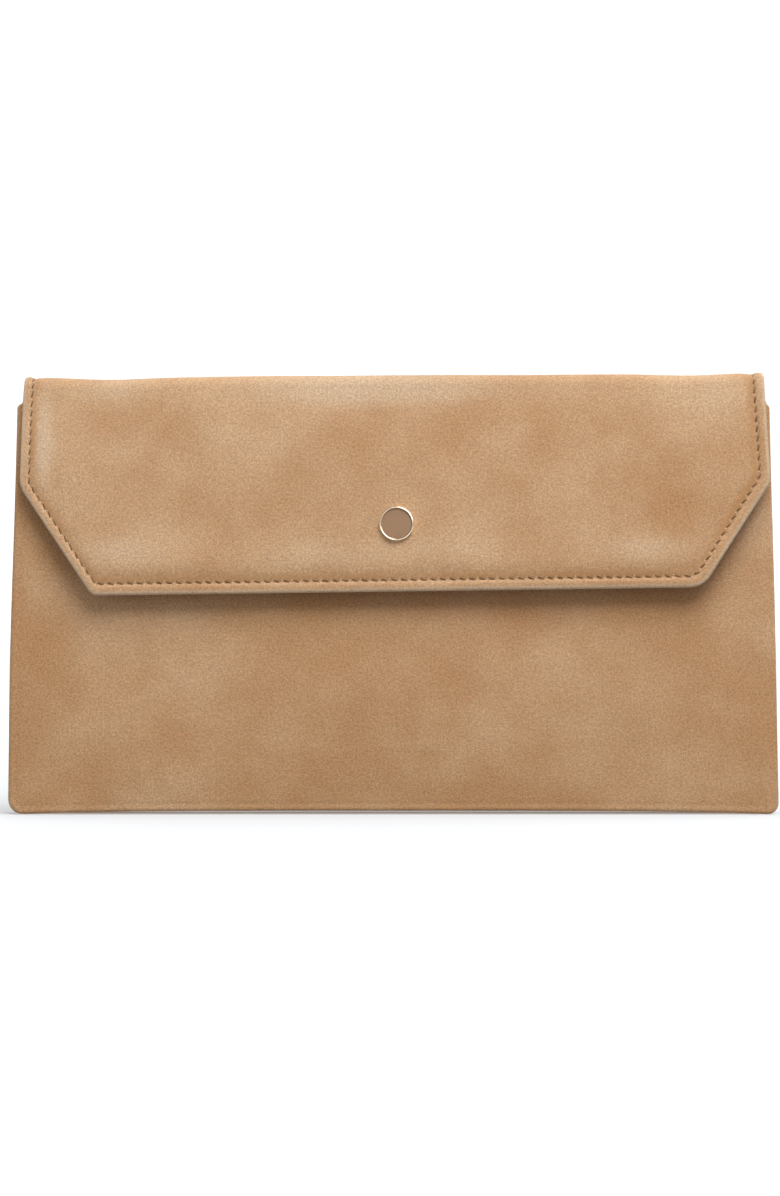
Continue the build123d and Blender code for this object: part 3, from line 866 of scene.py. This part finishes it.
# Soft patches of the nap: x, way along the skin, half width, half height, lighter or darker. The strip
# across the whole flap over the top of the fold is a painted highlight, and the strip along the whole foot
# of the front is painted shade.
FLAP_NAP_AND_TOP_LIGHT = (
    (-94, 20, 20, 10, -1.0), (-73, 55, 26, 14, -0.7), (98, 55, 20, 12, -0.9), (108, 38, 16, 9, -0.7),
    (-103, 12, 16, 8, 0.8), (-7, 11, 40, 8, 0.7), (-101, 72, 22, 8, 0.8), (97, 72, 24, 8, 0.8),
    (20, 72, 40, 8, 0.5), (-35, 74, 30, 8, 0.5), (120, 16, 14, 14, 0.4), (-132, 32, 4, 18, 1.2),
    (0, 11, 160, 8, 0.45),
)
FRONT_NAP_AND_FOOT_SHADE = (
    (12, -28, 34, 12, -0.1), (40, -64, 30, 14, -0.4), (-58, -50, 26, 18, 0.6), (60, -50, 24, 12, 0.1),
    (-110, -80, 20, 16, 0.4), (0, -8, 160, 12, -0.25),
)

flap_sheet = Sheet(flap_corners(), (2, 3), edge_profile(SIDE_INSETS, stitched, SKIN, EDGE_RADIUS))
flap_line = ring(flap_corners(), STITCH_INSET, False)[0]
flap_path = path_lengths(flap_line)
flap_pitch = flap_path[-1] / round(flap_path[-1] / STITCH_PITCH)
flap_seam = np.zeros(len(flap_sheet.x))
flap_seam[:flap_sheet.rings * flap_sheet.size] = np.tile(flap_path / flap_pitch, flap_sheet.rings)
flap_nap_and_top_light = nap_and_light_patches(FLAP_NAP_AND_TOP_LIGHT, flap_sheet.x, flap_sheet.t)
flap_skin = flap_sheet.build("flap_skin", on_flap, SUEDE, "suede", seam=flap_seam, nap=flap_nap_and_top_light)
bend_at_flap(flap_skin)
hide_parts("flap_panel", "flap_stiffener", "fold_outer", "fold_interlining")

# How far down from the middle of the fold its own rows of stitches reach
FOLD_ROW_LENGTH = 19.0

back_sheet = Sheet(back_corners(), (3, 4), edge_profile(SIDE_INSETS, turned_seam, SKIN, EDGE_RADIUS))
near_fold = (1 - ease(back_sheet.t, 14, FOLD_ROW_LENGTH)) * back_sheet.outer * (back_sheet.inset < 12)
back_sheet.height += near_fold * (stitched(back_sheet.inset) - turned_seam(back_sheet.inset))
back_line = ring(back_corners(), STITCH_INSET, False)[0]
back_path = path_lengths(back_line)
back_path = np.minimum(back_path, back_path[-1] - back_path)
back_seam = np.zeros(len(back_sheet.x))
back_seam[:back_sheet.rings * back_sheet.size] = np.tile(
    np.where(back_path < FOLD_ROW_LENGTH - 0.5, back_path / STITCH_PITCH, 0), back_sheet.rings
)
back_skin = back_sheet.build("back_skin", on_back, SUEDE, "suede", seam=back_seam, worn=near_fold)
bend_at_back(back_skin)
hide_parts("back_panel", "back_stiffener")

ALL_FOUR = (0, 1, 2, 3)

front_profile = edge_profile(SIDE_INSETS, turned_seam, SKIN, EDGE_RADIUS)
front_sheet = Sheet(panel_corners(0, 0, MOUTH_HEIGHT), ALL_FOUR, front_profile)
hem = ease(-front_sheet.t, 144, 149) * front_sheet.outer * (front_sheet.inset < 12)
hem = hem * ease(side_half_width(-front_sheet.t) - np.abs(front_sheet.x), 1, 5)
front_sheet.height += hem * (stitched(front_sheet.inset) - turned_seam(front_sheet.inset))
# Painted shade: the front is painted redder and darker just below the flap's edge, where the flap's shadow
# falls, and a little darker all over than the flap. The flap's edge lies at these heights across it
PAINTED_SHADE_X = (0, 115, 141, 150)
PAINTED_SHADE_HEIGHT = (84, 84, 121, 140)
flap_edge_height = np.interp(np.abs(front_sheet.x), PAINTED_SHADE_X, PAINTED_SHADE_HEIGHT)
# Painted shade just below the flap's edge, and painted shade over the whole front
painted_shade_under_flap = hill(-front_sheet.t - flap_edge_height, -4, 9) * (1 - ease(np.abs(front_sheet.x), 126, 142))
front_nap_and_shade = nap_and_light_patches(FRONT_NAP_AND_FOOT_SHADE, front_sheet.x, front_sheet.t) - 0.5 - 0.4 * painted_shade_under_flap
front_skin = front_sheet.build("front_skin", on_front, SUEDE, "suede", shift=700.0, nap=front_nap_and_shade, worn=hem)
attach(front_skin, "front")
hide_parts("front_panel", "front_stiffener")

# ---------------- foot and gussets

LINING_LOOK = (LINING, "lining")
INNER_LOOK = (SUEDE_INSIDE, "suede_inside")


def add_layer(name, corners, profile, place, look, shift, nodes=(), body=None, grid_corners=ALL_FOUR):
    """A sheet, closed if its grid has four corners, with what it rides on and what it replaces."""
    piece = Sheet(corners, grid_corners, profile).build(name, place, *look, shift=shift)
    if body:
        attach(piece, body)
    if nodes:
        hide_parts(*nodes)
    return piece


BASE_LEFT, BASE_RIGHT, BASE_FRONT, BASE_BACK = -140.2, 141.6, -7.7, 7.9
BASE_ROUNDING = 2.5
BASE_THICKNESS = 2.0

base_corners = [
    (BASE_LEFT, BASE_FRONT, BASE_ROUNDING, steps(8)), (BASE_LEFT, BASE_BACK, BASE_ROUNDING, steps(ACROSS)),
    (BASE_RIGHT, BASE_BACK, BASE_ROUNDING, steps(8)), (BASE_RIGHT, BASE_FRONT, BASE_ROUNDING, steps(ACROSS)),
]
base_profile = edge_profile((3.0, 2.2, 1.6, 1.1), flat, BASE_THICKNESS, BASE_THICKNESS / 2, (2.0, 3.0))
base_nodes = ("base_panel", "base_stiffener")
add_layer("base_skin", base_corners, base_profile, on_base, (SUEDE, "suede"), 1400.0, base_nodes, "body")

base_lining_corners = [(x * 0.99, t * 0.98, r, f) for x, t, r, f in base_corners]
base_lining_profile = edge_profile((2.4, 1.2, 0.6), flat, 0.5, 0.25, (1.0, 2.4))
add_layer(
    "base_cloth", base_lining_corners, base_lining_profile, inside(on_base, 2.55), LINING_LOOK, 2100.0,
    ("base_lining",), "body",
)

GUSSET_EDGE = 14.2
GUSSET_FOOT = 0.6
GUSSET_INSETS = (3.0, 2.0, 1.2, 0.6)
GUSSET_UNDER = (0.8, 2.0, 3.0)
# How much narrower a gusset's cloth is than its suede, so that it stays inside the seams
CLOTH_SHARE = 0.9
CLOTH_DEPTH = 1.45

gusset_corners = [
    (-GUSSET_EDGE, -GUSSET_TOP, 1.2, steps(60)), (-GUSSET_EDGE, -GUSSET_FOOT, 1.0, steps(24)),
    (GUSSET_EDGE, -GUSSET_FOOT, 1.0, steps(60)), (GUSSET_EDGE, -GUSSET_TOP, 1.2, steps(24)),
]
cloth_corners = [(run * CLOTH_SHARE, t, radius, rows) for run, t, radius, rows in gusset_corners]
gusset_profile = edge_profile(GUSSET_INSETS, flat, 1.0, 0.5, GUSSET_UNDER)
cloth_profile = edge_profile(GUSSET_INSETS, flat, 0.4, 0.2, GUSSET_UNDER)
for side, word in ((1, "right"), (-1, "left")):
    place, look = on_gusset(side), (SUEDE_GUSSET, "suede_gusset")
    nodes = (f"gusset_{word}_back", f"gusset_{word}_front")
    name = f"gusset_{word}"
    bend_with_mouth(add_layer(name, gusset_corners, gusset_profile, place, look, 300.0 * side, nodes))
    place, look = inside(place, CLOTH_DEPTH), LINING_LOOK
    nodes = (f"gusset_lining_{word}_back", f"gusset_lining_{word}_front")
    name = f"gusset_cloth_{word}"
    bend_with_mouth(add_layer(name, cloth_corners, cloth_profile, place, look, 500.0 * side, nodes))

# ---------------- facings and linings

FACING = FACING_DEPTH - SKIN
CLOTH = LINING_DEPTH - SKIN
# How far the facings and linings keep in from the sides, and how far the linings reach behind the facings
INNER_SINK = 4.4
LINING_TOP = FACING_BOTTOM + 6


def on_back_upright(x, t, height):
    """The back's straight part, with t running down from above like the front's."""
    return on_back(x, BACK_END + t, height)


def add_facing(place, **settings):
    """A suede facing on the inner side of a skin."""
    return add_layer(place=inside(place, FACING_DEPTH), look=INNER_LOOK, **settings)


flap_facing = add_facing(
    on_flap, name="flap_facing_skin", corners=flap_corners(FACING_INSET), grid_corners=(2, 3),
    profile=thin_profile(FACING, facing_groove), shift=2500.0, nodes=("flap_facing", "fold_facing"),
)
bend_at_flap(flap_facing)
back_facing = add_facing(
    on_back, name="back_facing_skin", corners=back_corners(INNER_SINK, FACING_BOTTOM, 1.0, 16),
    grid_corners=(3, 4), profile=thin_profile(FACING), shift=3000.0, nodes=("back_facing",),
)
bend_at_back(back_facing)
front_facing_corners = panel_corners(INNER_SINK, FACING_BOTTOM, MOUTH_HEIGHT - 0.9, 1.0, 1.0, 16)
add_facing(
    on_front, name="front_facing_skin", corners=front_facing_corners, profile=thin_profile(FACING),
    shift=3500.0, nodes=("front_facing",), body="front",
)

lining_corners = panel_corners(INNER_SINK, 3.0, LINING_TOP, 1.0, 1.0)
for name, place, shift, node, body in (
    ("back_cloth", on_back_upright, 4000.0, "back_lining", "body"),
    ("front_cloth", on_front, 4500.0, "front_lining", "front"),
):
    place = inside(place, LINING_DEPTH)
    add_layer(name, lining_corners, thin_profile(CLOTH), place, LINING_LOOK, shift, (node,), body)

POCKET_HALF_WIDTH, POCKET_BOTTOM, POCKET_TOP = 75.0, 42.0, 114.0
POCKET_THICKNESS = 0.8
POCKET_SLACK = 0.5
POCKET_GAPE = 1.3
BINDING_HEIGHT = 6
BINDING_THICKNESS = 1.5


def pocket_corners(half_width, bottom, top, rows):
    """The outline of the pocket or of its binding."""
    return [
        (-half_width, -top, 0.8, steps(rows)), (-half_width, -bottom, 3.0, steps(60)),
        (half_width, -bottom, 3.0, steps(rows)), (half_width, -top, 0.8, steps(60)),
    ]


def on_pocket(x, t, height):
    """The patch pocket: sewn down at its sides and foot, with its rim standing off."""
    up = -t
    hold = np.minimum(POCKET_HALF_WIDTH - np.abs(x), up - POCKET_BOTTOM)
    slack = POCKET_SLACK * ease(hold, 1.5, 8)
    gape = POCKET_GAPE * ease(up, 70, POCKET_TOP) * np.clip(1 - (x / 74) ** 2, 0, 1)
    return inside(on_back_upright, LINING_DEPTH + POCKET_THICKNESS)(x, t, height + slack + gape)


pocket_outline = pocket_corners(POCKET_HALF_WIDTH, POCKET_BOTTOM, POCKET_TOP, 30)
add_layer(
    "pocket_cloth", pocket_outline, thin_profile(POCKET_THICKNESS), on_pocket, LINING_LOOK, 5000.0,
    ("slip_pocket",), "body",
)


def on_binding(x, t, height):
    """The suede that binds the pocket's rim."""
    return on_pocket(x, t, height + 0.35)


binding_corners = pocket_corners(POCKET_HALF_WIDTH + 0.3, POCKET_TOP - BINDING_HEIGHT, POCKET_TOP + 0.6, 6)
binding_profile = edge_profile((2.4, 1.6, 1.0), flat, BINDING_THICKNESS, 0.6, (1.2, 2.4))
add_layer("pocket_binding", binding_corners, binding_profile, on_binding, INNER_LOOK, 5500.0, body="body")

# ---------------- stitching

row_height = stitched(STITCH_INSET) + 0.12
flap_row = add_stitches("flap_stitch_row", flap_line, flap_pitch, on_flap, row_height, THREAD)
bend_at_flap(flap_row)
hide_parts("flap_stitching")
under_row = add_stitches(
    "flap_stitch_row_inside", flap_line, flap_pitch, inside(on_flap, FACING_DEPTH), -0.1, THREAD
)
bend_at_flap(under_row)

half = len(back_line) // 2
for word, line in (("left", back_line[:half]), ("right", back_line[::-1][:half])):
    line = line[path_lengths(line) <= FOLD_ROW_LENGTH]
    row = add_stitches(f"fold_stitch_row_{word}", line, STITCH_PITCH, on_back, row_height, THREAD)
    bend_at_back(row)
    if word == "left":
        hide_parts("fold_stitching")

hem_half = side_half_width(MOUTH_HEIGHT - STITCH_INSET) - STITCH_INSET
hem_x = np.linspace(-hem_half, hem_half, 200)
hem_line = np.stack([hem_x, np.full_like(hem_x, STITCH_INSET - MOUTH_HEIGHT)], -1)
hem_pitch = 2 * hem_half / round(2 * hem_half / STITCH_PITCH)
hem_row = add_stitches("front_hem_stitch_row", hem_line, hem_pitch, on_front, row_height, THREAD)
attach(hem_row, "front")
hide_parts("front_hem_stitching")

POCKET_STITCH_INSET = 2.0
pocket_line = ring(pocket_outline, POCKET_STITCH_INSET, True)[0]
pocket_line = pocket_line[pocket_line[:, 1] > POCKET_STITCH_INSET - POCKET_TOP]
pocket_row = add_stitches("pocket_stitch_row", pocket_line, STITCH_PITCH, on_pocket, 0.0, THREAD)
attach(pocket_row, "body")

# ---------------- snap

flap_down = np.array([0, -math.sin(FLAP_LEAN), -math.cos(FLAP_LEAN)])
flap_out = np.array([0, -math.cos(FLAP_LEAN), math.sin(FLAP_LEAN)])
flap_top = np.array([CAP_ASIDE, FRONT_BEND_Y, BEND_HEIGHT]) + flap_out * FOLD_RADIUS
cap_centre = flap_top + flap_down * CAP_DOWN

# Radius and height over the flap's outer face
CAP_PROFILE = [
    (6.2, -0.6), (6.44, -0.3), (6.50, 0.0), (6.50, 1.02), (6.48, 1.17), (6.42, 1.31), (6.33, 1.42),
    (6.23, 1.48), (6.12, 1.50), (6.02, 1.48), (5.93, 1.41), (5.86, 1.30), (5.82, 1.15), (5.80, 0.95),
    (5.79, 0.3),
]
DISC_PROFILE = [(5.80, 0.1), (5.80, 0.58), (5.75, 0.66), (5.6, 0.69), (4.0, 0.70), (2.0, 0.70), (0.8, 0.70)]
cap = add_turned("snap_cap_rim", CAP_PROFILE, cap_centre, flap_out, GOLD)
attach(cap, "flap")
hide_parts("snap_cap")
disc = add_turned("snap_cap_face", DISC_PROFILE, cap_centre, flap_out, DISC)
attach(disc, "flap")
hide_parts("snap_cap_disc")

# The parts of the snap whose CAD shape stays, and their metal
KEPT = {
    "snap_male": GOLD,
    "snap_socket_case": GOLD,
    "snap_socket_rivet": GOLD,
    "snap_magnet": STEEL,
    "snap_socket_washer": STEEL,
    "snap_post": STEEL,
}
for node, material in KEPT.items():
    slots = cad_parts[node].data.materials
    for index in range(len(slots)):
        slots[index] = material

# ---------------- camera, light and floor

PIXELS_HIGH = 1196
# Millimetres at the clutch's front for each pixel of the picture
PICTURE_SCALE = 0.3771
DISTANCE = 1600.0
CAMERA_ASIDE = -1.3
CAMERA_HEIGHT = 81.55
SENSOR = 36.0
camera = bpy.data.objects.new("camera", bpy.data.cameras.new("camera"))
bpy.context.scene.collection.objects.link(camera)
camera.location = (CAMERA_ASIDE * MM, (-HALF_DEPTH - DISTANCE) * MM, CAMERA_HEIGHT * MM)
camera.rotation_euler = (math.radians(90), 0, 0)
camera.data.sensor_width = SENSOR
camera.data.lens = SENSOR * DISTANCE / (PIXELS_HIGH * PICTURE_SCALE)
camera.data.clip_end = 20.0
bpy.context.scene.camera = camera

world = bpy.data.worlds.new("studio")
bpy.context.scene.world = world
world.use_nodes = True
sky = world.node_tree
way = sky.nodes.new("ShaderNodeTexCoord")
split = sky.nodes.new("ShaderNodeSeparateXYZ")
sky.links.new(way.outputs["Generated"], split.inputs[0])
fade = sky.nodes.new("ShaderNodeMapRange")
fade.inputs["From Min"].default_value = 0.1
fade.inputs["From Max"].default_value = 0.6
fade.inputs["To Min"].default_value = 0.38
fade.inputs["To Max"].default_value = 1.2
sky.links.new(split.outputs[1], fade.inputs["Value"])
sky.links.new(fade.outputs["Result"], sky.nodes["Background"].inputs["Strength"])
sky.nodes["Background"].inputs["Color"].default_value = (1, 1, 1, 1)
bpy.context.scene.view_settings.view_transform = "Standard"


def area_light(name, place, aim, size, power):
    """A rectangular light that faces a point, in metres and watts."""
    data = bpy.data.lights.new(name, "AREA")
    data.shape = "RECTANGLE"
    data.size, data.size_y = size
    data.energy = power
    light = bpy.data.objects.new(name, data)
    bpy.context.scene.collection.objects.link(light)
    light.location = place
    light.rotation_euler = (Vector(aim) - Vector(place)).to_track_quat("-Z", "Y").to_euler()
    return light


key = area_light("key", (0.30, -0.74, 1.28), (0, 0, 0.08), (1.0, 1.0), 23.2)
area_light("fill", (-0.55, -0.65, 0.16), (0, 0, 0.11), (0.1, 0.5), 0.5)
# The metal mirrors a card on the upper right instead of the key
key.visible_glossy = False
card = area_light("card", (0.60, -0.62, 0.95), (0, 0, 0.11), (1.1, 1.1), 34.0)
card.visible_diffuse = False

floor_mesh = bpy.data.meshes.new("floor")
FLOOR_HALF = 6
floor_corners = [(x * FLOOR_HALF, y * FLOOR_HALF, 0) for x, y in ((-1, -1), (1, -1), (1, 1), (-1, 1))]
floor_mesh.from_pydata(floor_corners, [], [(0, 1, 2, 3)])
floor = bpy.data.objects.new("floor", floor_mesh)
bpy.context.scene.collection.objects.link(floor)
paper = Nodes("floor_paper")
paper.surface(Base_Color=(0.48, 0.50, 0.52, 1.0), Roughness=0.9)
spot = paper.put("ShaderNodeSeparateXYZ", {0: paper.put("ShaderNodeTexCoord").outputs["Object"]}).outputs
# Painted light: the paper glows, more the further it is from the clutch's footprint, which leaves a painted
# shade round the footprint
past = []
for axis, half in ((0, 0.145), (1, 0.010)):
    beyond = paper.minus(paper.maths("ABSOLUTE", spot[axis]), half)
    past.append(paper.maths("MAXIMUM", beyond, 0.0))
away = paper.maths("SQRT", paper.plus(*[paper.times(v, v) for v in past]))
near = paper.span(away, 0.0, 0.05, 0.26, 0.32)
glow = paper.plus(near, paper.span(away, 0.1, 0.9, 0.0, 0.34))
# Painted shadow: the paper hardly glows under the clutch and just behind it
within = paper.span(paper.maths("ABSOLUTE", spot[0]), 0.146, 0.138)
below = paper.span(paper.maths("ABSOLUTE", paper.minus(spot[1], 0.011)), 0.011, 0.007)
painted_shadow = paper.times(paper.times(within, below), 0.8)
glow = paper.times(glow, paper.minus(1.0, painted_shadow))
paper.surface(Emission_Color=(0.97, 1.0, 1.03, 1.0), Emission_Strength=glow)
floor_mesh.materials.append(paper.material)
floor.visible_diffuse = False
floor.location.z = -0.0001
